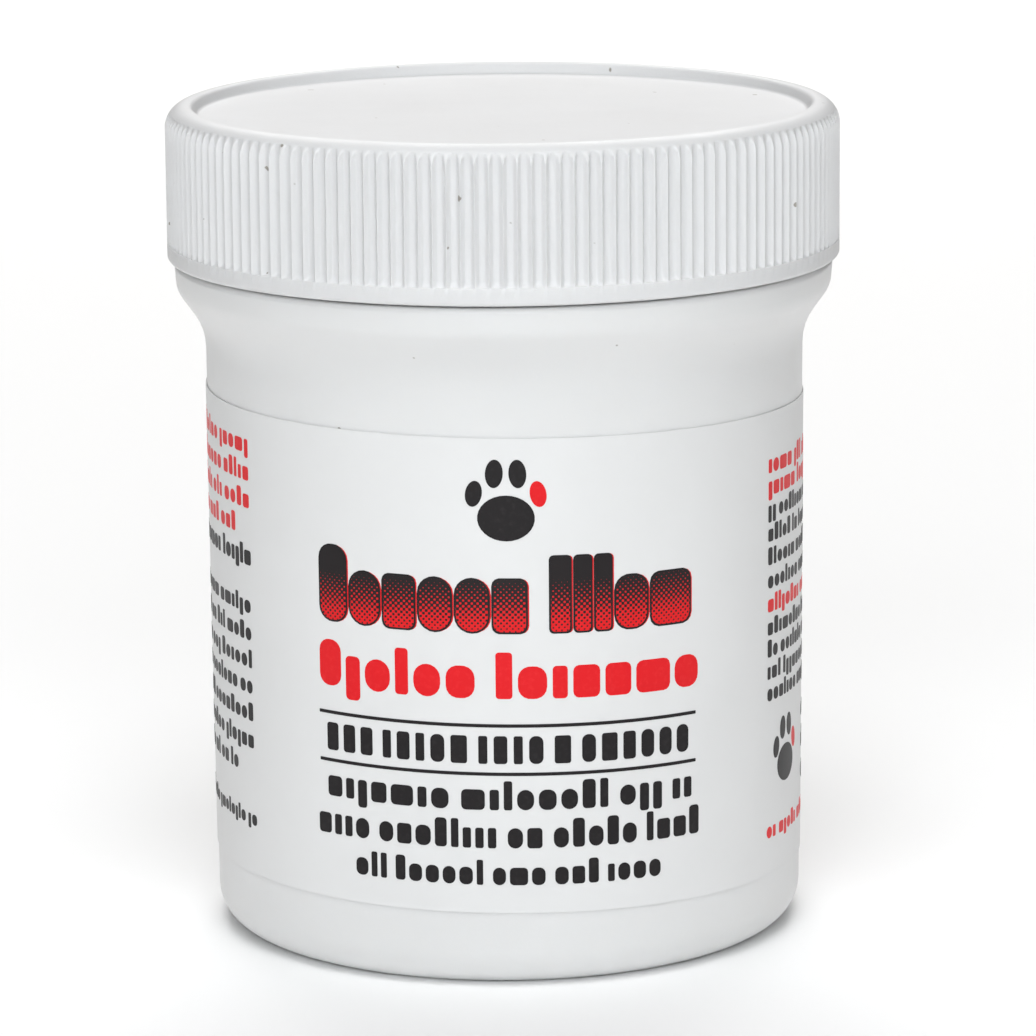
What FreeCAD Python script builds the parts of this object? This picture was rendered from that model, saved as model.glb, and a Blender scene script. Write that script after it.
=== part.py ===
"""A small straight-sided jar of styptic powder with a ribbed 48 mm screw cap.

Frame: +Z is up and is the jar's own axis; the origin is the centre of the
standing face. Millimetres. The pieces, each its own solid:

jar_body        one moulded shell: base, wall, shoulder, flange, threaded neck
wrap_label      printed sleeve round the straight wall, lapped at the back
styptic_powder  the contents, filled to below the neck
cap_liner       sealing disc between the jar's lip and the cap
screw_cap       ribbed closure with a recessed top and an internal thread
"""
import FreeCAD, Part
import os
import Sketcher

# Driving dimensions, in millimetres unless the name says otherwise.
SIZES = {
    # whole object
    "overall_height": 63.2,
    # screw cap
    "cap_radius": 25.5,
    "cap_height": 11.6,
    "cap_bore_radius": 24.05,
    "cap_mouth_flare": 0.25,
    "cap_edge_round": 0.3,
    "crown_round": 1.65,
    "panel_thickness": 1.2,
    "recess_radius": 23.1,
    "recess_depth": 0.85,
    "recess_slope": 0.35,
    "recess_top_round": 0.45,
    "recess_foot_round": 0.3,
    "inner_corner_round": 0.5,
    # grip ribs: the valleys between them are cut into the skirt
    "rib_count": 156,
    "valley_radius": 0.38,
    "valley_axis_inset": 0.07,
    "plain_band_height": 1.3,
    # sealing disc
    "liner_radius": 23.6,
    "liner_thickness": 0.8,
    "liner_gap": 0.03,
    # screw thread, six turns to the inch
    "thread_lead": 4.2333,
    "thread_turns": 1.25,
    "thread_crest_radius": 23.75,
    "thread_root_width": 2.3,
    "thread_crest_width": 1.2,
    "thread_end_below_lip": 1.75,
    "cap_thread_crest_radius": 22.95,
    "cap_thread_root_width": 1.8,
    "cap_thread_crest_width": 0.9,
    "thread_flank_gap": 0.25,
    "thread_sink": 0.35,
    # neck, flange and shoulder of the jar
    "neck_radius": 22.55,
    "bore_radius": 20.9,
    "lip_round": 0.45,
    "neck_foot_round": 0.4,
    "cap_flange_gap": 0.2,
    "flange_radius": 25.0,
    "flange_foot_radius": 24.85,
    "flange_face_height": 2.07,
    "flange_top_round": 0.45,
    "flange_foot_round": 2.1,
    "shoulder_radius": 22.72,
    "shoulder_height": 5.03,
    "shoulder_round": 5.0,
    # straight wall and base
    "foot_radius": 22.45,
    "wall_thickness": 1.5,
    "floor_thickness": 1.6,
    "foot_round": 2.8,
    "inner_foot_round": 2.0,
    "standing_ring_radius": 18.2,
    "push_up_height": 0.9,
    "push_up_run": 2.5,
    "push_up_round": 0.6,
    # printed label
    "label_bottom": 5.85,
    "label_top": 41.5,
    "label_thickness": 0.1,
    "label_lap_degrees": 9,
    # contents
    "powder_level": 43.0,
    "powder_gap": 0.04,
}

# Places worked out from the driving dimensions, as expressions on the sheet.
CROWN = "Sizes.overall_height"
CAP_FOOT = "(Sizes.overall_height - Sizes.cap_height)"
RECESS_FLOOR = f"({CROWN} - Sizes.recess_depth)"
PANEL_UNDERSIDE = f"({RECESS_FLOOR} - Sizes.panel_thickness)"
LINER_TOP = f"({PANEL_UNDERSIDE} - Sizes.liner_gap)"
LINER_FOOT = f"({LINER_TOP} - Sizes.liner_thickness)"
LIP = f"({LINER_FOOT} - Sizes.liner_gap)"
FLANGE_TOP = f"({CAP_FOOT} - Sizes.cap_flange_gap)"
FLANGE_FOOT = f"({FLANGE_TOP} - Sizes.flange_face_height)"
SHOULDER = f"({FLANGE_TOP} - Sizes.shoulder_height)"
INNER_FLOOR = "(Sizes.push_up_height + Sizes.floor_thickness)"
INNER_SHOULDER_RADIUS = "(Sizes.shoulder_radius - Sizes.wall_thickness)"
INNER_FOOT_RADIUS = "(Sizes.foot_radius - Sizes.wall_thickness)"
THREAD_RISE = "(Sizes.thread_lead * Sizes.thread_turns)"
THREAD_START = f"({LIP} - Sizes.thread_end_below_lip - {THREAD_RISE})"
# the cap's thread lies under the jar's, flank to flank at half depth
THREAD_MESH = ("((Sizes.thread_root_width + Sizes.thread_crest_width"
               " + Sizes.cap_thread_root_width + Sizes.cap_thread_crest_width) / 4"
               " + Sizes.thread_flank_gap)")
CAP_THREAD_START = f"({THREAD_START} - {THREAD_MESH} + Sizes.thread_lead / 4)"
VALLEY_AXIS = "(Sizes.cap_radius - Sizes.valley_axis_inset)"
VALLEY_FOOT = f"({CAP_FOOT} + Sizes.plain_band_height)"

JAR_THREAD_START_DEGREES = 0
CAP_THREAD_START_DEGREES = 90

doc = FreeCAD.newDocument("styptic_jar")


def fill_sheet():
    """Write the driving dimensions into the document's sheet."""
    sheet = doc.addObject("Spreadsheet::Sheet", "Sizes")
    for row, (alias, number) in enumerate(SIZES.items(), start=1):
        sheet.set(f"A{row}", alias)
        sheet.set(f"B{row}", str(number))
        sheet.setAlias(f"B{row}", alias)
    doc.recompute()
    return sheet


sizes = fill_sheet()


def number(expression):
    """The present value of an expression on the sheet."""
    return float(sizes.evalExpression(expression))


def new_body(name):
    """A body whose label is the piece's name."""
    body = doc.addObject("PartDesign::Body", name)
    body.Label = name
    return body


def origin_of(body, role):
    """One of a body's own origin planes or axes."""
    return next(item for item in body.Origin.OriginFeatures if item.Role == role)


def new_sketch(body, name, turn_degrees=0):
    """A sketch on the body's XZ plane, turned about Z if asked."""
    sketch = body.newObject("Sketcher::SketchObject", name)
    sketch.AttachmentSupport = [(origin_of(body, "XZ_Plane"), "")]
    sketch.MapMode = "FlatFace"
    turn = FreeCAD.Rotation(FreeCAD.Vector(0, 1, 0), turn_degrees)
    sketch.AttachmentOffset = FreeCAD.Placement(FreeCAD.Vector(), turn)
    return sketch


def bind(sketch, name, constraint, expression):
    """Add one named constraint and tie it to the sheet."""
    index = sketch.addConstraint(constraint)
    sketch.renameConstraint(index, name)
    sketch.setExpression(f"Constraints.{name}", expression)


def outline(sketch, corners):
    """Draw a closed outline. Each corner: name, radius, height and its rounding or None."""
    points = [FreeCAD.Vector(number(x), number(z), 0) for _, x, z, _ in corners]
    count = len(corners)
    for index in range(count):
        run = Part.LineSegment(points[index], points[(index + 1) % count])
        sketch.addGeometry(run, False)
    for index in range(count):
        joined = Sketcher.Constraint("Coincident", index, 2, (index + 1) % count, 1)
        sketch.addConstraint(joined)
    for index, (name, x, z, _) in enumerate(corners):
        across = Sketcher.Constraint("DistanceX", -1, 1, index, 1, points[index].x)
        bind(sketch, f"{name}_across", across, x)
        up = Sketcher.Constraint("DistanceY", -1, 1, index, 1, points[index].y)
        bind(sketch, f"{name}_up", up, z)
    for index, (name, _, _, rounding) in enumerate(corners):
        if rounding is None:
            continue
        first_new = sketch.GeometryCount
        sketch.fillet(index, 1, number(rounding), True, True)
        arc = next(g for g in range(first_new, sketch.GeometryCount)
                   if isinstance(sketch.Geometry[g], Part.ArcOfCircle))
        radius = Sketcher.Constraint("Radius", arc, number(rounding))
        bind(sketch, f"{name}_round", radius, rounding)


def revolve(body, name, corners, degrees=360, turn_degrees=0):
    """Turn an outline about Z and add it to the body."""
    sketch = new_sketch(body, f"{name}Outline", turn_degrees)
    outline(sketch, corners)
    turned = body.newObject("PartDesign::Revolution", name)
    turned.Profile = sketch
    turned.ReferenceAxis = (sketch, ["V_Axis"])
    turned.Angle = degrees
    sketch.Visibility = False
    doc.recompute()
    return turned


def thread_section(sketch, base, crest, root_width, crest_width, start):
    """A thread's section: a trapezium, its base sunk in the wall and its crest clear of it."""
    outline(sketch, [
        ("base_low", base, f"{start} - {root_width} / 2", None),
        ("crest_low", crest, f"{start} - {crest_width} / 2", None),
        ("crest_high", crest, f"{start} + {crest_width} / 2", None),
        ("base_high", base, f"{start} + {root_width} / 2", None),
    ])


def thread(body, name, base, crest, widths, start, start_degrees):
    """Sweep a thread's section along a right-hand helix about Z and add it to the body."""
    root_width, crest_width = widths
    sketch = new_sketch(body, f"{name}Section", start_degrees)
    thread_section(sketch, base, crest, root_width, crest_width, start)
    helix = body.newObject("PartDesign::AdditiveHelix", name)
    helix.Profile = sketch
    helix.ReferenceAxis = (sketch, ["V_Axis"])
    helix.Mode = "pitch-turns-angle"
    helix.setExpression("Pitch", "Sizes.thread_lead")
    helix.setExpression("Turns", "Sizes.thread_turns")
    helix.LeftHanded = False
    sketch.Visibility = False
    doc.recompute()


def make_jar():
    """The moulded jar: one wall from the standing ring to the threaded lip."""
    body = new_body("jar_body")
    revolve(body, "Shell", [
        ("centre_foot", "0", "Sizes.push_up_height", None),
        ("push_up", "Sizes.standing_ring_radius - Sizes.push_up_run",
         "Sizes.push_up_height", "Sizes.push_up_round"),
        ("ring", "Sizes.standing_ring_radius", "0", "Sizes.push_up_round"),
        ("foot", "Sizes.foot_radius", "0", "Sizes.foot_round"),
        ("shoulder", "Sizes.shoulder_radius", SHOULDER, "Sizes.shoulder_round"),
        ("flange_foot", "Sizes.flange_foot_radius", FLANGE_FOOT, "Sizes.flange_foot_round"),
        ("flange_top", "Sizes.flange_radius", FLANGE_TOP, "Sizes.flange_top_round"),
        ("neck_foot", "Sizes.neck_radius", FLANGE_TOP, "Sizes.neck_foot_round"),
        ("lip_outer", "Sizes.neck_radius", LIP, "Sizes.lip_round"),
        ("lip_inner", "Sizes.bore_radius", LIP, "Sizes.lip_round"),
        ("bore_foot", "Sizes.bore_radius", FLANGE_FOOT, "Sizes.shoulder_round"),
        ("inner_shoulder", INNER_SHOULDER_RADIUS, SHOULDER, "Sizes.shoulder_round"),
        ("inner_foot", INNER_FOOT_RADIUS, INNER_FLOOR, "Sizes.inner_foot_round"),
        ("centre_floor", "0", INNER_FLOOR, None),
    ])
    thread(body, "NeckThread", "(Sizes.neck_radius - Sizes.thread_sink)",
           "Sizes.thread_crest_radius",
           ("Sizes.thread_root_width", "Sizes.thread_crest_width"),
           THREAD_START, JAR_THREAD_START_DEGREES)


def make_label():
    """The printed sleeve, following the wall's slight draft, and its lapped end."""
    body = new_body("wrap_label")
    draft = (f"((Sizes.shoulder_radius - Sizes.foot_radius) / {SHOULDER})")
    foot = f"(Sizes.foot_radius + Sizes.label_bottom * {draft})"
    top = f"(Sizes.foot_radius + Sizes.label_top * {draft})"

    def layer(level):
        inner = f" + Sizes.label_thickness * {level}"
        outer = f" + Sizes.label_thickness * {level + 1}"
        return [
            ("inner_foot", foot + inner, "Sizes.label_bottom", None),
            ("outer_foot", foot + outer, "Sizes.label_bottom", None),
            ("outer_top", top + outer, "Sizes.label_top", None),
            ("inner_top", top + inner, "Sizes.label_top", None),
        ]

    revolve(body, "Sleeve", layer(0))
    lap = revolve(body, "Lap", layer(1), SIZES["label_lap_degrees"], 90)
    lap.setExpression("Angle", "Sizes.label_lap_degrees")


def make_powder():
    """The contents: a plug of powder that fills the jar to its level."""
    body = new_body("styptic_powder")
    revolve(body, "Fill", [
        ("centre_foot", "0", INNER_FLOOR, None),
        ("foot", f"{INNER_FOOT_RADIUS} - Sizes.powder_gap", INNER_FLOOR,
         "Sizes.inner_foot_round"),
        ("top", f"{INNER_FOOT_RADIUS} - Sizes.powder_gap", "Sizes.powder_level", None),
        ("centre_top", "0", "Sizes.powder_level", None),
    ])


def make_liner():
    """The flat sealing disc."""
    body = new_body("cap_liner")
    revolve(body, "Disc", [
        ("centre_foot", "0", LINER_FOOT, None),
        ("foot", "Sizes.liner_radius", LINER_FOOT, None),
        ("top", "Sizes.liner_radius", LINER_TOP, None),
        ("centre_top", "0", LINER_TOP, None),
    ])


def cut_valleys(body):
    """Cut the round-bottomed valleys that leave the grip ribs standing."""
    sketch = new_sketch(body, "ValleyOutline")
    outline(sketch, [
        ("foot", VALLEY_AXIS, VALLEY_FOOT, None),
        ("foot_edge", f"{VALLEY_AXIS} + Sizes.valley_radius", VALLEY_FOOT, None),
        ("top_edge", f"{VALLEY_AXIS} + Sizes.valley_radius", f"{CROWN} + 1", None),
        ("top", VALLEY_AXIS, f"{CROWN} + 1", None),
    ])
    before = body.Tip.Shape.Volume
    valley = body.newObject("PartDesign::Groove", "Valley")
    valley.Profile = sketch
    valley.ReferenceAxis = (sketch, ["Edge4"])
    valley.Angle = 360
    sketch.Visibility = False
    doc.recompute()
    if valley.Shape.Volume >= before:
        raise RuntimeError("the first valley cuts nothing")
    ribs = body.newObject("PartDesign::PolarPattern", "Ribs")
    ribs.Originals = [valley]
    ribs.Axis = (origin_of(body, "Z_Axis"), [""])
    ribs.Angle = 360
    ribs.setExpression("Occurrences", "Sizes.rib_count")
    body.Tip = ribs
    doc.recompute()


def make_cap():
    """The screw cap: recessed top, rounded crown, ribbed skirt and inside thread."""
    body = new_body("screw_cap")
    revolve(body, "Shell", [
        ("centre_top", "0", RECESS_FLOOR, None),
        ("centre_underside", "0", PANEL_UNDERSIDE, None),
        ("underside", "Sizes.cap_bore_radius", PANEL_UNDERSIDE, "Sizes.inner_corner_round"),
        ("mouth_start", "Sizes.cap_bore_radius", f"{CAP_FOOT} + 2 * Sizes.cap_mouth_flare",
         None),
        ("mouth", "Sizes.cap_bore_radius + Sizes.cap_mouth_flare", CAP_FOOT, None),
        ("foot", "Sizes.cap_radius", CAP_FOOT, "Sizes.cap_edge_round"),
        ("crown_outer", "Sizes.cap_radius", CROWN, "Sizes.crown_round"),
        ("crown_inner", "Sizes.recess_radius + Sizes.recess_slope", CROWN,
         "Sizes.recess_top_round"),
        ("recess_foot", "Sizes.recess_radius", RECESS_FLOOR, "Sizes.recess_foot_round"),
    ])
    cut_valleys(body)
    thread(body, "CapThread", "(Sizes.cap_bore_radius + Sizes.thread_sink)",
           "Sizes.cap_thread_crest_radius",
           ("Sizes.cap_thread_root_width", "Sizes.cap_thread_crest_width"),
           CAP_THREAD_START, CAP_THREAD_START_DEGREES)


def check_document():
    """Stop if any object failed or any piece is not one valid solid."""
    for item in doc.Objects:
        if "Invalid" in item.State or "Error" in item.State:
            raise RuntimeError(f"{item.Label} did not compute")
    for body in doc.findObjects("PartDesign::Body"):
        shape = body.Shape
        if shape.isNull() or not shape.isValid() or len(shape.Solids) != 1:
            raise RuntimeError(f"{body.Label} is not one valid solid")


def export():
    """Write each piece to its own file."""
    os.makedirs("parts", exist_ok=True)
    for body in doc.findObjects("PartDesign::Body"):
        body.Shape.exportStep(f"parts/{body.Label}.step")
        box = body.Shape.BoundBox
        print(f"{body.Label}: {body.Shape.Volume / 1000:.2f} cm3,"
              f" z {box.ZMin:.2f} to {box.ZMax:.2f}, r {box.XMax:.2f}")


make_jar()
make_label()
make_powder()
make_liner()
make_cap()
doc.recompute()
check_document()
export()
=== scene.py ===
"""The looks of the styptic powder jar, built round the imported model.

Lengths are in millimetres, as in the design, and meshes are scaled to metres when they are made.
Lights, bump distances and clip distances are in metres. The jar's axis is Z, its front faces -Y,
and a place on the label is (along, up): the arc length from the middle of the front, positive to
the right, and the height.
"""

import math
import random

import bpy
import numpy as np
from mathutils import Matrix, Vector, noise


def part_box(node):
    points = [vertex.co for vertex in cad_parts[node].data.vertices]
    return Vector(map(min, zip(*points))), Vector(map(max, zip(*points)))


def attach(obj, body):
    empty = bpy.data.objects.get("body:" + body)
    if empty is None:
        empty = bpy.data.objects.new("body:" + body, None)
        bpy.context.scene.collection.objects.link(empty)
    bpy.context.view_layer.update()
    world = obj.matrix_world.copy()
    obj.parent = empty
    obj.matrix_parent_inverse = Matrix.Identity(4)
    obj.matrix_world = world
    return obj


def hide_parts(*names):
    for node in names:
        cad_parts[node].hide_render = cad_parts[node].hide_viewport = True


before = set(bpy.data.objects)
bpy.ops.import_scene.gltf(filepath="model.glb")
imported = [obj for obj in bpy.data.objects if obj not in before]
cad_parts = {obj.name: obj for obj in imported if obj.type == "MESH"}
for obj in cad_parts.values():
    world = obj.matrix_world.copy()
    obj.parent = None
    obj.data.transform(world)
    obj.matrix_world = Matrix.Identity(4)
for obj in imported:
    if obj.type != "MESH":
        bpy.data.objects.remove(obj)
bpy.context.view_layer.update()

MM = 0.001
TURN = 2 * math.pi


def node_box(name):
    """A CAD node's lowest and highest corners, in millimetres."""
    low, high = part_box(name)
    return low / MM, high / MM


_, JAR_HIGH = node_box("jar_body")
CAP_LOW, CAP_HIGH = node_box("screw_cap")
LINER_LOW, LINER_HIGH = node_box("cap_liner")
LABEL_LOW, LABEL_HIGH = node_box("wrap_label")
POWDER_LOW, POWDER_HIGH = node_box("styptic_powder")

LIP = JAR_HIGH.z
CAP_FOOT = CAP_LOW.z
CROWN = CAP_HIGH.z
CAP_RADIUS = CAP_HIGH.x

# jar, as designed
NECK_RADIUS = 22.55
BORE_RADIUS = 20.9
WALL = 1.5
CAP_GAP = 0.2
FLANGE_TOP = CAP_FOOT - CAP_GAP
FLANGE_RADIUS = 25.0
FLANGE_TAPER = 0.15
FLANGE_FACE = 2.07
FLANGE_TOP_ROUND = 0.45
FLANGE_FOOT_ROUND = 2.1
NECK_FOOT_ROUND = 0.4
LIP_ROUND = 0.45
SHOULDER_DROP = 5.03
SHOULDER_ROUND = 5.0
SHOULDER_RADIUS = 22.72
FOOT_RADIUS = 22.45
FOOT_ROUND = 2.8
PUSH_UP = 0.9
PUSH_UP_ROUND = 0.6
GATE_DEPTH = 0.35
GATE_ROUND = 0.12
FLOOR = POWDER_LOW.z
FLOOR_ROUND = 2.0

# screw threads, as designed
THREAD_LEAD = 4.2333
THREAD_TURNS = 1.25
THREAD_END_BELOW_LIP = 1.75
NECK_THREAD = {"depth": 1.2, "root": 2.3, "crest": 1.2}
CAP_THREAD = {"depth": 1.1, "root": 1.8, "crest": 0.9}
FLANK_GAP = 0.25

# cap, as designed
CAP_BORE = 24.05
CAP_MOUTH_FLARE = 0.25
CAP_MOUTH_ROUND = 0.1
CAP_EDGE_ROUND = 0.3
INNER_CORNER_ROUND = 0.5
PANEL = 1.2
RECESS_DEPTH = 0.85
RECESS_RADIUS = 23.1
RECESS_SLOPE = 0.35
RECESS_TOP_ROUND = 0.45
RECESS_FOOT_ROUND = 0.3
BEAD_ROUND = 1.65
RIBS = 156
VALLEY_DEPTH = 0.42
BAND = 1.3

# label: its slight tilt on the jar, the film's and one ink layer's thickness, and the title line
LABEL_SKEW = -0.014
FILM = 0.1
INK = 0.012
TITLE_BASE = 27.1
TITLE_TALL = 5.6


def wall_radius(height):
    """The jar's outside radius on the straight, slightly tapered wall."""
    share = height / (FLANGE_TOP - SHOULDER_DROP)
    return FOOT_RADIUS + (SHOULDER_RADIUS - FOOT_RADIUS) * share


def smooth(value):
    """0 below 0, 1 above 1, and a soft step between."""
    t = np.clip(value, 0.0, 1.0)
    return t * t * (3 - 2 * t)


# ---------------------------------------------------------------- outlines and skins

def rounded(corners, step_degrees=9.0):
    """An outline of (radius, height, rounding) corners with each rounding turned into an arc."""
    places = [Vector((r, z)) for r, z, _ in corners]
    line = [tuple(places[0])]
    for index in range(1, len(corners) - 1):
        before, here, after = places[index - 1], places[index], places[index + 1]
        size = corners[index][2]
        if not size:
            line.append(tuple(here))
            continue
        back, on = (before - here).normalized(), (after - here).normalized()
        half = back.angle(on) / 2
        reach = size / math.tan(half)
        centre = here + (back + on).normalized() * (size / math.sin(half))
        first = here + back * reach - centre
        sweep = math.pi - 2 * half
        sign = 1 if back.x * on.y - back.y * on.x < 0 else -1
        count = max(2, round(math.degrees(sweep) / step_degrees))
        for k in range(count + 1):
            a = sign * sweep * k / count
            turned = Vector((first.x * math.cos(a) - first.y * math.sin(a),
                             first.x * math.sin(a) + first.y * math.cos(a)))
            line.append(tuple(centre + turned))
    line.append(tuple(places[-1]))
    return line


def ring(radius, height, count):
    """Points round the axis. The radius may be one number or one for each point."""
    angle = np.arange(count) * TURN / count
    radius = np.broadcast_to(np.asarray(radius, float), (count,))
    height = np.broadcast_to(np.asarray(height, float), (count,))
    return np.stack([radius * np.cos(angle), radius * np.sin(angle), height], -1)


def join_rings(low, low_count, high, high_count):
    """Faces between two rings: equal, one a single point, or one a whole multiple of the other."""
    if low_count == high_count:
        return [(low + i, low + (i + 1) % low_count,
                 high + (i + 1) % low_count, high + i) for i in range(low_count)]
    if low_count == 1:
        return [(low, high + (i + 1) % high_count, high + i) for i in range(high_count)]
    if high_count == 1:
        return [(low + i, low + (i + 1) % low_count, high) for i in range(low_count)]
    faces = []
    if high_count > low_count:
        many = high_count // low_count
        for i in range(low_count):
            for j in range(many):
                far = high + (i * many + j + 1) % high_count
                faces.append((low + i, far, high + i * many + j))
            faces.append((low + i, low + (i + 1) % low_count,
                          high + ((i + 1) * many) % high_count))
        return faces
    many = low_count // high_count
    for i in range(high_count):
        for j in range(many):
            far = low + (i * many + j + 1) % low_count
            faces.append((low + i * many + j, far, high + i))
        faces.append((low + ((i + 1) * many) % low_count,
                      high + (i + 1) % high_count, high + i))
    return faces


def make_object(name, points, faces, sharp_degrees=35.0):
    """A smooth-shaded mesh object from points in millimetres."""
    mesh = bpy.data.meshes.new(name)
    mesh.from_pydata((np.asarray(points) * MM).tolist(), [], faces)
    mesh.update()
    mesh.shade_smooth()
    mesh.set_sharp_from_angle(angle=math.radians(sharp_degrees))
    made = bpy.data.objects.new(name, mesh)
    bpy.context.scene.collection.objects.link(made)
    return made


def skin(name, rings, sharp_degrees=35.0):
    """One closed surface through a list of rings, from one pole to the other."""
    points, faces, start = [], [], 0
    for index, points_here in enumerate(rings):
        if index:
            count_before = len(rings[index - 1])
            faces += join_rings(start - count_before, count_before, start, len(points_here))
        points.append(points_here)
        start += len(points_here)
    return make_object(name, np.concatenate(points), faces, sharp_degrees)


def lathe_rings(line, count):
    """Rings for an outline of (radius, height) points; a point on the axis is a pole."""
    return [ring(0.0, z, 1) if r < 1e-6 else ring(r, z, count) for r, z in line]


# ---------------------------------------------------------------- screw threads

THREAD_ROW = 0.13
THREAD_FADE = math.radians(28)


def thread_height(angle, height, start_height, start_angle, depth, root, crest):
    """How far a screw thread stands from its wall at an angle and a height."""
    total = np.zeros_like(angle)
    span = THREAD_TURNS * TURN
    for lap in range(-1, math.ceil(THREAD_TURNS) + 1):
        along = (angle - start_angle) % TURN + lap * TURN
        centre = start_height + THREAD_LEAD * along / TURN
        flank = (root / 2 - np.abs(height - centre)) / ((root - crest) / 2)
        ends = smooth(along / THREAD_FADE) * smooth((span - along) / THREAD_FADE)
        total = np.maximum(total, depth * smooth(flank) * ends)
    return total


def threaded_rings(radius, outward, low, high, count, rows, **thread):
    """Rings up a cylinder that carries a thread, standing outward or inward."""
    angle = np.arange(count) * TURN / count
    made = []
    for height in np.linspace(low, high, rows):
        made.append(ring(radius + outward * thread_height(angle, height, **thread),
                         height, count))
    return made


# ---------------------------------------------------------------- the jar

SEGMENTS = 240
NECK_THREAD_START = LIP - THREAD_END_BELOW_LIP - THREAD_LEAD * THREAD_TURNS


def make_jar():
    """The moulded jar, with a gate mark under it and a thread on its neck."""
    shoulder = FLANGE_TOP - SHOULDER_DROP
    below = rounded([
        (0, PUSH_UP - GATE_DEPTH, 0),
        (0.9, PUSH_UP - GATE_DEPTH, GATE_ROUND),
        (1.1, PUSH_UP, GATE_ROUND),
        (15.7, PUSH_UP, PUSH_UP_ROUND),
        (18.2, 0, PUSH_UP_ROUND),
        (FOOT_RADIUS, 0, FOOT_ROUND),
        (SHOULDER_RADIUS, shoulder, SHOULDER_ROUND),
        (FLANGE_RADIUS - FLANGE_TAPER, FLANGE_TOP - FLANGE_FACE, FLANGE_FOOT_ROUND),
        (FLANGE_RADIUS, FLANGE_TOP, FLANGE_TOP_ROUND),
        (NECK_RADIUS, FLANGE_TOP, NECK_FOOT_ROUND),
        (NECK_RADIUS, LIP, 0),
    ])
    above = rounded([
        (NECK_RADIUS, FLANGE_TOP, 0),
        (NECK_RADIUS, LIP, LIP_ROUND),
        (BORE_RADIUS, LIP, LIP_ROUND),
        (BORE_RADIUS, FLANGE_TOP - FLANGE_FACE, SHOULDER_ROUND),
        (SHOULDER_RADIUS - WALL, shoulder, SHOULDER_ROUND),
        (FOOT_RADIUS - WALL, FLOOR, FLOOR_ROUND),
        (0, FLOOR, 0),
    ])
    below, above = below[:-1], above[1:]
    low, high = below[-1][1], above[0][1]
    rows = int((high - low) / THREAD_ROW)
    neck = threaded_rings(NECK_RADIUS, 1, low, high, SEGMENTS, rows,
                          start_height=NECK_THREAD_START, start_angle=0.0, **NECK_THREAD)
    rings = lathe_rings(below[:-1], SEGMENTS) + neck + lathe_rings(above[1:], SEGMENTS)
    jar = skin("jar_moulding", rings)
    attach(jar, "jar")
    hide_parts("jar_body")
    return jar


# ---------------------------------------------------------------- the cap

SAMPLES_PER_RIB = 12
CREST_WIDTH = 0.17
VALLEY_SCOOP = 0.55
PLAIN_FOOT = 0.5


def rib_shape(count):
    """0 on a rib's crest and 1 in a valley, for each point round the cap."""
    phase = (np.arange(count) / SAMPLES_PER_RIB) % 1.0
    apart = np.minimum(phase, 1 - phase)
    return 1 - np.exp(-(apart / CREST_WIDTH) ** 2)


def ribbed_ring(radius, height, count, shape):
    """One ring of the skirt, with the valleys as deep as its height allows."""
    rise = (height - (CAP_FOOT + BAND)) / VALLEY_SCOOP
    depth = VALLEY_DEPTH * math.sqrt(max(0.0, 1 - (1 - min(rise, 1.0)) ** 2)) if rise > 0 else 0.0
    return ring(np.minimum(radius, CAP_RADIUS - depth * shape), height, count)


def make_cap():
    """The screw cap: recessed top, rounded bead, ribbed skirt and inside thread."""
    floor = CROWN - RECESS_DEPTH
    underside = floor - PANEL
    fine = RIBS * SAMPLES_PER_RIB
    coarse = RIBS * 2
    inside = rounded([
        (0, underside, 0),
        (CAP_BORE, underside, INNER_CORNER_ROUND),
        (CAP_BORE, CAP_FOOT, 0),
    ])[:-1]
    low = CAP_FOOT + PLAIN_FOOT
    rows = int((inside[-1][1] - low) / THREAD_ROW)
    widths = sum(thread["root"] + thread["crest"] for thread in (NECK_THREAD, CAP_THREAD))
    below_neck_thread = widths / 4 + FLANK_GAP
    quarter_turn = THREAD_LEAD / 4
    start_height = NECK_THREAD_START - below_neck_thread + quarter_turn
    thread = threaded_rings(CAP_BORE, -1, inside[-1][1], low, coarse, rows,
                            start_height=start_height, start_angle=TURN / 4, **CAP_THREAD)
    foot = rounded([
        (CAP_BORE, low, 0),
        (CAP_BORE + CAP_MOUTH_FLARE, CAP_FOOT, CAP_MOUTH_ROUND),
        (CAP_RADIUS, CAP_FOOT, CAP_EDGE_ROUND),
        (CAP_RADIUS, CROWN, 0),
    ])[1:-1]
    crown = rounded([
        (CAP_RADIUS, CAP_FOOT, 0),
        (CAP_RADIUS, CROWN, BEAD_ROUND),
        (RECESS_RADIUS + RECESS_SLOPE, CROWN, RECESS_TOP_ROUND),
        (RECESS_RADIUS, floor, RECESS_FOOT_ROUND),
        (0, floor, 0),
    ], step_degrees=6.0)[1:]
    shape = rib_shape(fine)
    scoop = [CAP_FOOT + BAND + VALLEY_SCOOP * t for t in (0.0, 0.03, 0.1, 0.22, 0.4, 0.65, 1.0)]
    straight_top = CROWN - BEAD_ROUND
    skirt = [ribbed_ring(CAP_RADIUS, z, fine, shape) for z in scoop]
    skirt += [ribbed_ring(CAP_RADIUS, z, fine, shape)
              for z in np.linspace(scoop[-1], straight_top, 4)[1:-1]]
    fading = [p for p in crown if p[0] > CAP_RADIUS - VALLEY_DEPTH - 0.1]
    rest = crown[len(fading):]
    skirt += [ribbed_ring(r, z, fine, shape) for r, z in fading]
    rings = lathe_rings(inside[:-1], coarse) + thread + lathe_rings(foot, coarse)
    rings += skirt + lathe_rings(rest, coarse)
    cap = skin("screw_cap_moulding", rings)
    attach(cap, "cap")
    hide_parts("screw_cap")
    return cap


# ---------------------------------------------------------------- liner and powder

DENT = 0.12
DENT_ROUND = 0.2
LINER_EDGE_ROUND = 0.1


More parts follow.
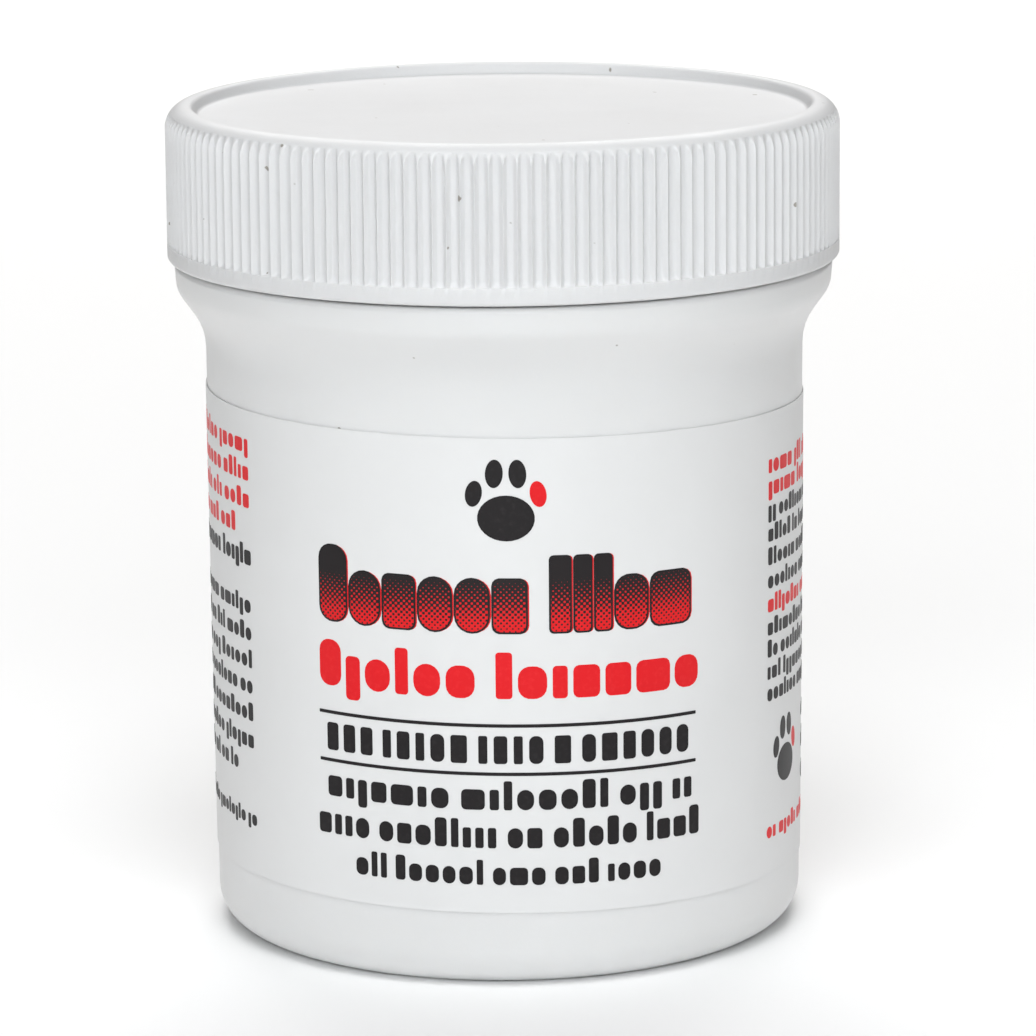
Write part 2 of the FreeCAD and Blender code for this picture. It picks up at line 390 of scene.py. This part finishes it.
def make_liner():
    """The sealing disc, its face pressed in where the jar's lip bears on it."""
    radius, low, high = LINER_HIGH.x, LINER_LOW.z, LINER_HIGH.z
    line = rounded([
        (0, low, 0),
        (20.6, low, DENT_ROUND),
        (20.9, low + DENT, DENT_ROUND),
        (22.4, low + DENT, DENT_ROUND),
        (22.7, low, DENT_ROUND),
        (radius, low, LINER_EDGE_ROUND),
        (radius, high, LINER_EDGE_ROUND),
        (0, high, 0),
    ], step_degrees=20.0)
    disc = skin("liner_disc", lathe_rings(line, SEGMENTS))
    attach(disc, "liner")
    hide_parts("cap_liner")
    return disc


POWDER_SPREAD = 1.1
POWDER_GRAIN = 0.08
POWDER_EDGE_DROP = 0.35
POWDER_RINGS = 90


def powder_top(x, y, radius):
    """The height of the loose powder's uneven surface at a place inside the jar."""
    place = Vector((x, y, 0.0))
    lumps = noise.fractal(place * 0.16, 0.9, 2.1, 5)
    grain = noise.noise(place * 2.2)
    drop = 0.5 * POWDER_SPREAD * (1 - lumps)
    settled = POWDER_EDGE_DROP * smooth((math.hypot(x, y) / radius - 0.9) * 10)
    return POWDER_HIGH.z - drop - POWDER_GRAIN * grain - settled


def make_powder():
    """The fill of powder, with a soft uneven top."""
    radius = POWDER_HIGH.x
    bottom = rounded([
        (0, POWDER_LOW.z, 0),
        (radius, POWDER_LOW.z, 2.0),
        (radius, POWDER_HIGH.z - 2.5, 0),
        (radius, POWDER_HIGH.z, 0),
    ], step_degrees=15.0)[:-1]
    rings = lathe_rings(bottom, SEGMENTS)
    for share in np.linspace(1.0, 0.0, POWDER_RINGS):
        count = 1 if share == 0 else SEGMENTS
        flat = ring(radius * share, 0.0, count)
        flat[:, 2] = [min(POWDER_HIGH.z, powder_top(x, y, radius)) for x, y, _ in flat]
        rings.append(flat)
    fill = skin("powder_fill", rings, 60.0)
    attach(fill, "jar")
    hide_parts("styptic_powder")
    return fill


# ---------------------------------------------------------------- the label

FILM_BACK = 0.004
LABEL_COLUMNS = 369
# the lap at the back: its length and where it starts to rise, in degrees from the front
LAP_DEGREES = 9
LAP_RISE_START = 178
LAP_RISE = 2
LAP_GAP = 0.01


def on_label(along, up, proud):
    """A point on the label: arc length, height and how far it stands from the wall."""
    height = up + LABEL_SKEW * along
    radius = wall_radius(height) + proud
    angle = along / SHOULDER_RADIUS - math.pi / 2
    return radius * math.cos(angle), radius * math.sin(angle), height


def strip_faces(start, count):
    """Faces of a closed strip of four-cornered columns whose points begin at start."""
    faces = []
    for column in range(count - 1):
        for corner in range(4):
            a = start + column * 4 + corner
            b = start + column * 4 + (corner + 1) % 4
            faces.append((a, a + 4, b + 4, b))
    last = start + (count - 1) * 4
    return faces + [(start, start + 1, start + 2, start + 3),
                    (last + 3, last + 2, last + 1, last)]


def make_label():
    """The film: one strip round the wall whose end laps over its start at the back."""
    low, high = LABEL_LOW.z, LABEL_HIGH.z
    degrees = np.linspace(-180, 180 + LAP_DEGREES, LABEL_COLUMNS)
    points = []
    for place in degrees:
        along = math.radians(place) * SHOULDER_RADIUS
        lift = (FILM + LAP_GAP) * float(smooth((place - LAP_RISE_START) / LAP_RISE))
        for up, proud in ((low, FILM_BACK), (low, FILM), (high, FILM), (high, FILM_BACK)):
            points.append(on_label(along, up, proud + lift))
    film = make_object("label_film_wrap", points, strip_faces(0, LABEL_COLUMNS))
    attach(film, "jar")
    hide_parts("wrap_label")
    return film


OVAL_COLUMNS = 15
WORD_SPACE = 0.75
# a low block's height and a descender's drop, as shares of the line's height
X_HEIGHT = 0.70
DESCENT = 0.25

# a greeked shape: its width, how round it is, and how far it rises and drops; the last
# number is how often it comes up
BLOCKS = (
    (1.0, 1.0, X_HEIGHT, 0, 9), (1.05, 0.85, X_HEIGHT, 0, 8), (1.0, 0.45, X_HEIGHT, 0, 8),
    (1.4, 0.45, X_HEIGHT, 0, 4), (0.55, 0.5, X_HEIGHT, 0, 6), (0.5, 0.5, 1.0, 0, 7),
    (0.8, 0.6, 1.0, 0, 6), (0.6, 0.6, X_HEIGHT, DESCENT, 4),
)
TALL_BLOCKS = (
    (0.95, 0.9, 1.0, 0, 5), (1.1, 0.3, 1.0, 0, 4), (0.9, 0.45, 1.0, 0, 5), (0.6, 0.4, 1.0, 0, 2),
)


class Print:
    """Printed shapes of one ink, gathered into one thin raised mesh on the label."""

    def __init__(self, layer):
        self.points, self.faces = [], []
        self.proud = FILM + INK * layer

    def columns(self, places):
        """A shape given as (along, low, high) columns from left to right."""
        start = len(self.points)
        for along, low, high in places:
            for up, proud in ((low, FILM - INK), (low, self.proud), (high, self.proud),
                              (high, FILM - INK)):
                self.points.append(on_label(along, up, proud))
        self.faces += strip_faces(start, len(places))

    def bar(self, left, right, low, high, corner=0.15):
        """A bar with rounded corners."""
        corner = min(corner, (right - left) / 2, (high - low) / 2)
        inner = np.linspace(left + corner, right - corner,
                            max(2, math.ceil((right - left) / 0.7)))
        ends = [corner * (1 - math.cos(a)) for a in (0.25, 0.6, 1.0)]
        places = [left + e for e in ends] + list(inner) + [right - e for e in reversed(ends)]
        out = []
        for along in places:
            edge = corner - min(along - left, right - along, corner)
            cut = corner - math.sqrt(max(0.0, corner ** 2 - edge ** 2))
            out.append((along, low + cut, high - cut))
        self.columns(out)

    def oval(self, along, up, wide, tall, lean=0.0):
        """An oval blob, leaning sideways if asked."""
        out = []
        for k in range(OVAL_COLUMNS):
            across = math.cos(math.pi * (1 - (k + 0.5) / OVAL_COLUMNS))
            half = tall / 2 * math.sqrt(1 - across ** 2)
            middle = up + lean * across * wide / 2
            out.append((along + across * wide / 2, middle - half, middle + half))
        self.columns(out)

    def block(self, left, right, low, high, roundness):
        """A filled block whose corners are round in proportion."""
        corner = roundness * min(right - left, high - low) / 2
        out = []
        for share in (0.0, 0.03, 0.1, 0.2, 0.35, 0.5, 0.65, 0.8, 0.9, 0.97, 1.0):
            near = min(corner, min(share, 1 - share) * (right - left))
            cut = corner - math.sqrt(max(0.0, corner ** 2 - (corner - near) ** 2))
            cut = min(cut, (high - low) / 2 - 0.01)
            out.append((left + share * (right - left), low + cut, high - cut))
        self.columns(out)

    def finish(self, name):
        """The gathered shapes as one piece that rides on the jar."""
        made = make_object(name, self.points, self.faces)
        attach(made, "jar")
        return made


def greek(inks, left, right, base, tall, lengths, seed, gap=0.17, style="small"):
    """A greeked line: groups of filled blocks fitted between left and right.

    inks holds (print, grow, shift) for each layer the line is printed in. The style says
    which blocks are tall: "small" few, "first" each group's first too, "tall" all of them.
    """
    draw = random.Random(seed)
    groups = []
    for count in lengths:
        group = []
        for index in range(count):
            kinds = TALL_BLOCKS if style == "tall" or (style == "first" and index == 0) else BLOCKS
            group.append(draw.choices(kinds, [kind[-1] for kind in kinds])[0])
        groups.append(group)
    total = sum(sum(kind[0] for kind in group) + gap * (len(group) - 1) for group in groups)
    total += WORD_SPACE * (len(groups) - 1)
    unit = (right - left) / total
    along = left
    for group in groups:
        for wide, roundness, rise, drop, _ in group:
            for ink, grow, shift in inks:
                ink.block(along + shift - grow, along + shift + wide * unit + grow,
                          base - drop * tall - grow, base + rise * tall + grow, roundness)
            along += (wide + gap) * unit
        along += (WORD_SPACE - gap) * unit


def paw(black, red, along, up, size):
    """A paw mark, one toe in red."""
    black.oval(along, up, 4.2 * size, 3.4 * size)
    for ink, side, rise, wide, tall, lean in (
            (black, -2.35, 1.8, 1.25, 1.9, 0.25), (black, -0.85, 3.3, 1.3, 2.1, 0.1),
            (black, 0.85, 3.3, 1.3, 2.1, -0.1), (red, 2.35, 1.8, 1.25, 1.9, -0.25)):
        ink.oval(along + side * size, up + rise * size, wide * size, tall * size, lean)


def make_print():
    """A generic label: a paw mark and greeked lines, with no lettering."""
    red, black, title = Print(1), Print(2), Print(3)

    paw(black, red, 0.0, 35.6, 1.0)

    # front panel
    greek([(red, 0.10, 0.12), (black, 0.13, 0.0), (title, -0.02, 0.0)],
          -14.7, 14.4, TITLE_BASE, TITLE_TALL, (6, 5), 4, 0.15, "first")
    greek([(red, 0.0, 0.0)], -14.9, 15.2, 22.1, 3.5, (6, 7), 8, 0.2, "first")
    black.bar(-15.0, 15.0, 19.95, 20.2, 0.05)
    greek([(black, 0.0, 0.0)], -14.3, 14.3, 17.2, 2.1, (3, 5, 4, 1, 6), 5, 0.42, "tall")
    black.bar(-15.0, 15.0, 16.3, 16.55, 0.05)
    greek([(black, 0.0, 0.0)], -14.3, 14.6, 13.7, 2.2, (7, 8, 3, 2), 11, 0.28)
    greek([(black, 0.0, 0.0)], -15.2, 15.3, 10.8, 2.2, (4, 8, 2, 5, 4), 12, 0.28)
    greek([(black, 0.0, 0.0)], -11.9, 11.8, 8.0, 1.9, (3, 6, 3, 3, 4), 13, 0.3)

    panels(black, red)
    return (red.finish("label_print_red"), black.finish("label_print_black"),
            title.finish("label_print_title"))


def panels(black, red):
    """The two small-print panels that wrap round the sides."""
    draw = random.Random(21)

    def line(ink, left, right, up, tall, gap=0.3):
        lengths, room = [], (right - left) / (tall * 0.62)
        while room > 2:
            word = min(draw.randint(2, 8), max(2, int(room)))
            lengths.append(word)
            room -= word + 1
        greek([(ink, 0.0, 0.0)], left, right, up - tall / 2, tall, lengths,
              draw.randint(0, 999), gap)

    for index, up in enumerate((39.0, 36.9, 34.8, 32.7)):
        line(red, -54.0 if index else -50.0, -22.7 if index < 3 else -25.0, up, 1.5)
    line(black, -54.0, -22.6, 30.5, 1.6, 0.2)
    for up in (26.7, 24.6, 22.5, 20.5, 18.4, 16.3):
        line(black, -54.0, -22.8, up, 1.4)
    line(black, -54.0, -25.5, 14.2, 1.4)
    line(black, -36.0, -22.6, 10.2, 1.2)

    for up in (37.6, 35.9):
        line(red, 23.6, 55.0, up, 1.5, 0.2)
    for up in (34.1, 32.3, 30.5, 28.7):
        line(black, 23.6, 55.0, up, 1.35)
    line(red, 23.6, 55.0, 26.9, 1.4, 0.2)
    for up in (25.1, 23.4, 21.7, 20.0):
        line(black, 23.6, 55.0 if up > 21 else 48.0, up, 1.35)
    for up in (17.0, 14.6, 12.2):
        line(black, 33.0, 55.0, up, 1.5)
    paw(black, red, 27.2, 14.0, 0.85)
    line(red, 23.6, 55.0, 9.3, 1.3, 0.2)


# ---------------------------------------------------------------- materials

def new_material(name, color, roughness, specular=0.5):
    """A principled material and the parts of its node tree that a finish needs."""
    material = bpy.data.materials.new(name)
    material.use_nodes = True
    nodes, links = material.node_tree.nodes, material.node_tree.links
    shader = nodes["Principled BSDF"]
    shader.inputs["Base Color"].default_value = (*color, 1)
    shader.inputs["Roughness"].default_value = roughness
    shader.inputs["Specular IOR Level"].default_value = specular
    return material, nodes, links, shader


def add_noise(nodes, links, scale, detail=3.0, roughness=0.55):
    """Noise in the object's own coordinates."""
    place = nodes.new("ShaderNodeTexCoord")
    texture = nodes.new("ShaderNodeTexNoise")
    texture.inputs["Scale"].default_value = scale
    texture.inputs["Detail"].default_value = detail
    texture.inputs["Roughness"].default_value = roughness
    links.new(place.outputs["Object"], texture.inputs["Vector"])
    return texture.outputs["Fac"]


def add_ramp(nodes, links, source, stops):
    """A colour ramp with (position, colour) stops."""
    ramp = nodes.new("ShaderNodeValToRGB")
    elements = ramp.color_ramp.elements
    while len(elements) < len(stops):
        elements.new(0.5)
    for element, (position, color) in zip(elements, stops):
        element.position = position
        element.color = (*color, 1)
    links.new(source, ramp.inputs["Fac"])
    return ramp.outputs["Color"]


def add_bump(nodes, links, shader, source, strength, distance, before=None):
    """A bump on the shader, after another bump if one is given."""
    bump = nodes.new("ShaderNodeBump")
    bump.inputs["Strength"].default_value = strength
    bump.inputs["Distance"].default_value = distance
    links.new(source, bump.inputs["Height"])
    if before is not None:
        links.new(before, bump.inputs["Normal"])
    links.new(bump.outputs["Normal"], shader.inputs["Normal"])
    return bump.outputs["Normal"]


def mix_color(nodes, links, factor, first, second):
    """Two colours mixed by a factor socket. Either colour may be a socket or a triple."""
    mix = nodes.new("ShaderNodeMix")
    mix.data_type = "RGBA"
    links.new(factor, mix.inputs["Factor"])
    for socket, color in (("A", first), ("B", second)):
        target = next(i for i in mix.inputs if i.name == socket and i.type == "RGBA")
        if isinstance(color, tuple):
            target.default_value = (*color, 1)
        else:
            links.new(color, target)
    return next(o for o in mix.outputs if o.type == "RGBA")


PLASTIC_DEPTH = 0.7
SPECK_COLOR = (0.30, 0.28, 0.25)


def moulded_plastic(name, color, shade, roughness, grain, specks):
    """White moulded plastic: faint mottling, a fine matte skin and a few dust specks."""
    material, nodes, links, shader = new_material(name, color, roughness)
    shader.inputs["Subsurface Weight"].default_value = 0.35
    shader.inputs["Subsurface Radius"].default_value = (1.0, 0.95, 0.9)
    shader.inputs["Subsurface Scale"].default_value = PLASTIC_DEPTH * MM
    mottle = add_ramp(nodes, links, add_noise(nodes, links, 60, 2.0),
                      [(0.35, shade), (0.65, color)])
    speck = add_ramp(nodes, links, add_noise(nodes, links, 900, 1.0),
                     [(specks, (0, 0, 0)), (specks + 0.02, (1, 1, 1))])
    base = mix_color(nodes, links, speck, mottle, SPECK_COLOR)
    links.new(base, shader.inputs["Base Color"])
    wear = add_ramp(nodes, links, add_noise(nodes, links, 140, 3.0),
                    [(0.3, (roughness - 0.05,) * 3), (0.7, (roughness + 0.07,) * 3)])
    links.new(wear, shader.inputs["Roughness"])
    add_bump(nodes, links, shader, add_noise(nodes, links, 4500, 2.0), grain, 0.00005)
    return material


def film_material():
    """The label's smooth coated paper."""
    color = (0.74, 0.74, 0.74)
    material, nodes, links, shader = new_material("label_paper", color, 0.42)
    mottle = add_ramp(nodes, links, add_noise(nodes, links, 90, 4.0),
                      [(0.35, (0.72, 0.72, 0.72)), (0.65, color)])
    links.new(mottle, shader.inputs["Base Color"])
    add_bump(nodes, links, shader, add_noise(nodes, links, 1600, 4.0), 0.12, 0.00005)
    return material


INK_ROUGHNESS, INK_SPECULAR = 0.42, 0.22


def ink_material(name, color, worn):
    """Printing ink with a slight mottle."""
    material, nodes, links, shader = new_material(name, color, INK_ROUGHNESS, INK_SPECULAR)
    mottle = add_ramp(nodes, links, add_noise(nodes, links, 2600, 3.0),
                      [(0.5, color), (0.85, worn)])
    links.new(mottle, shader.inputs["Base Color"])
    return material


HALFTONE_PITCH = 0.30
HALFTONE_SHARPNESS = 6.0
TITLE_RED = (0.70, 0.008, 0.012)
TITLE_BLACK = (0.014, 0.011, 0.012)


def title_material():
    """Red ink under a black halftone screen that thins from the top of the line to its foot."""
    material, nodes, links, shader = new_material("title_ink", (0.1, 0.01, 0.01),
                                                  INK_ROUGHNESS, INK_SPECULAR)
    place = nodes.new("ShaderNodeTexCoord")
    split = nodes.new("ShaderNodeSeparateXYZ")
    links.new(place.outputs["Object"], split.inputs["Vector"])

    def calculate(operation, *values):
        made = nodes.new("ShaderNodeMath")
        made.operation = operation
        for target, value in zip(made.inputs, values):
            if isinstance(value, float):
                target.default_value = value
            else:
                links.new(value, target)
        return made.outputs[0]

    back = calculate("MULTIPLY", split.outputs["Y"], -1.0)
    angle = calculate("ARCTAN2", split.outputs["X"], back)
    along = calculate("MULTIPLY", angle, SHOULDER_RADIUS * MM)
    screen = None
    for operation in ("ADD", "SUBTRACT"):
        diagonal = calculate(operation, along, split.outputs["Z"])
        turns = calculate("MULTIPLY", diagonal, TURN / (HALFTONE_PITCH * MM * math.sqrt(2)))
        wave = calculate("COSINE", turns)
        screen = wave if screen is None else calculate("ADD", screen, wave)
    screen = calculate("ADD", calculate("MULTIPLY", screen, 0.25), 0.5)
    span = nodes.new("ShaderNodeMapRange")
    span.inputs["From Min"].default_value = (TITLE_BASE + 0.2) * MM
    span.inputs["From Max"].default_value = (TITLE_BASE + TITLE_TALL * 0.88) * MM
    span.inputs["To Min"].default_value = 0.20
    span.inputs["To Max"].default_value = 1.30
    links.new(split.outputs["Z"], span.inputs["Value"])
    above = calculate("SUBTRACT", span.outputs["Result"], screen)
    spread = calculate("MULTIPLY", above, HALFTONE_SHARPNESS)
    covered = nodes.new("ShaderNodeClamp")
    links.new(calculate("ADD", spread, 0.5), covered.inputs["Value"])
    color = mix_color(nodes, links, covered.outputs["Result"], TITLE_RED, TITLE_BLACK)
    links.new(color, shader.inputs["Base Color"])
    return material


def powder_material():
    """Dry ochre powder with lighter and darker grains."""
    material, nodes, links, shader = new_material("powder_grains", (0.5, 0.34, 0.13), 0.95, 0.2)
    tone = add_ramp(nodes, links, add_noise(nodes, links, 1500, 4.0),
                    [(0.35, (0.36, 0.23, 0.08)), (0.55, (0.52, 0.36, 0.14)),
                     (0.75, (0.66, 0.50, 0.25))])
    links.new(tone, shader.inputs["Base Color"])
    first = add_bump(nodes, links, shader, add_noise(nodes, links, 900, 5.0), 0.6, 0.0003)
    add_bump(nodes, links, shader, add_noise(nodes, links, 5000, 3.0), 0.7, 0.0001, first)
    return material


def board_material():
    """The liner's white waxed pulp board."""
    material, nodes, links, shader = new_material("liner_pulp", (0.78, 0.76, 0.70), 0.55)
    tone = add_ramp(nodes, links, add_noise(nodes, links, 700, 5.0),
                    [(0.35, (0.70, 0.68, 0.61)), (0.65, (0.80, 0.785, 0.74))])
    links.new(tone, shader.inputs["Base Color"])
    add_bump(nodes, links, shader, add_noise(nodes, links, 2500, 4.0), 0.25, 0.00008)
    return material


# ---------------------------------------------------------------- stage, lights and camera

# the camera's place in millimetres, its turns in radians and its lens in millimetres
CAMERA_BACK = 420.5
CAMERA_UP = 117.5
CAMERA_PITCH = 0.2030
CAMERA_YAW = 0.0022
CAMERA_ROLL = -0.0088
CAMERA_LENS = 194.35


def make_camera():
    """A long lens in front of the jar, a little above it."""
    data = bpy.data.cameras.new("camera")
    data.lens = CAMERA_LENS
    data.sensor_width = 36
    data.clip_start, data.clip_end = 0.01, 20
    camera = bpy.data.objects.new("camera", data)
    forward = Vector((math.sin(CAMERA_YAW) * math.cos(CAMERA_PITCH),
                      math.cos(CAMERA_YAW) * math.cos(CAMERA_PITCH),
                      -math.sin(CAMERA_PITCH)))
    right = Vector((math.cos(CAMERA_YAW), -math.sin(CAMERA_YAW), 0))
    up = right.cross(forward)
    rolled_right = right * math.cos(CAMERA_ROLL) + up * math.sin(CAMERA_ROLL)
    rolled_up = up * math.cos(CAMERA_ROLL) - right * math.sin(CAMERA_ROLL)
    turn = Matrix((rolled_right, rolled_up, -forward)).transposed()
    camera.matrix_world = Matrix.Translation(Vector((0, -CAMERA_BACK, CAMERA_UP)) * MM) \
        @ turn.to_4x4()
    bpy.context.scene.collection.objects.link(camera)
    bpy.context.scene.camera = camera


FLOOR_HALF = 3000
JAR_MIDDLE = (0, 0, 0.035)
FRONT_COLOR = (0.945, 0.985, 1.0)
TOP_COLOR = (0.985, 0.995, 1.0)
BACK_COLOR = (1.0, 0.99, 0.98)
SKY_COLOR = (1.0, 0.93, 0.90)
SKY = 0.08


def make_surround():
    """A dim even surround, so that the softboxes do the lighting."""
    world = bpy.data.worlds.new("surround")
    world.use_nodes = True
    background = world.node_tree.nodes["Background"]
    background.inputs["Color"].default_value = (*SKY_COLOR, 1)
    background.inputs["Strength"].default_value = SKY
    bpy.context.scene.world = world


def make_light(name, place, size, power, color, aim=JAR_MIDDLE):
    """A square softbox that points at the jar, or elsewhere if asked, in metres."""
    data = bpy.data.lights.new(name, "AREA")
    data.size = size
    data.energy = power
    data.color = color
    light = bpy.data.objects.new(name, data)
    light.location = place
    light.rotation_mode = "QUATERNION"
    light.rotation_quaternion = (Vector(aim) - Vector(place)).to_track_quat("-Z", "Y")
    bpy.context.scene.collection.objects.link(light)


def make_stage():
    """A pale floor, soft studio light and a pale surround."""
    points = [(x * FLOOR_HALF, y * FLOOR_HALF, 0) for x, y in ((-1, -1), (1, -1), (1, 1), (-1, 1))]
    floor = make_object("floor", points, [(0, 1, 2, 3)])
    material, _, _, _ = new_material("floor_paper", (0.985, 0.985, 0.985), 0.9, 0.1)
    floor.data.materials.append(material)
    make_surround()
    make_light("front", (0.0, -0.85, 0.36), 0.45, 3.4, FRONT_COLOR)
    make_light("front_left", (-0.35, -0.85, 0.5), 0.35, 1.0, FRONT_COLOR)
    make_light("front_right", (0.35, -0.85, 0.5), 0.35, 0.6, FRONT_COLOR)
    make_light("overhead", (0.0, -0.35, 0.85), 0.5, 4.1, TOP_COLOR)
    make_light("behind", (0.0, 0.9, 0.8), 0.8, 8.7, BACK_COLOR, (0, 0.55, 0))
    bpy.context.scene.view_settings.view_transform = "Standard"


def paint(piece, material):
    """Give a piece its material."""
    piece.data.materials.clear()
    piece.data.materials.append(material)


make_camera()
make_stage()
paint(make_jar(), moulded_plastic("jar_white", (0.74, 0.74, 0.74), (0.72, 0.72, 0.72),
                                  0.36, 0.10, 0.80))
paint(make_cap(), moulded_plastic("cap_white", (0.685, 0.685, 0.69), (0.665, 0.665, 0.67),
                                  0.48, 0.35, 0.78))
paint(make_liner(), board_material())
paint(make_powder(), powder_material())
paint(make_label(), film_material())
print_red, print_black, print_title = make_print()
paint(print_red, ink_material("red_ink", (0.72, 0.007, 0.012), (0.77, 0.02, 0.025)))
paint(print_black, ink_material("black_ink", (0.012, 0.010, 0.011), (0.022, 0.019, 0.020)))
paint(print_title, title_material())
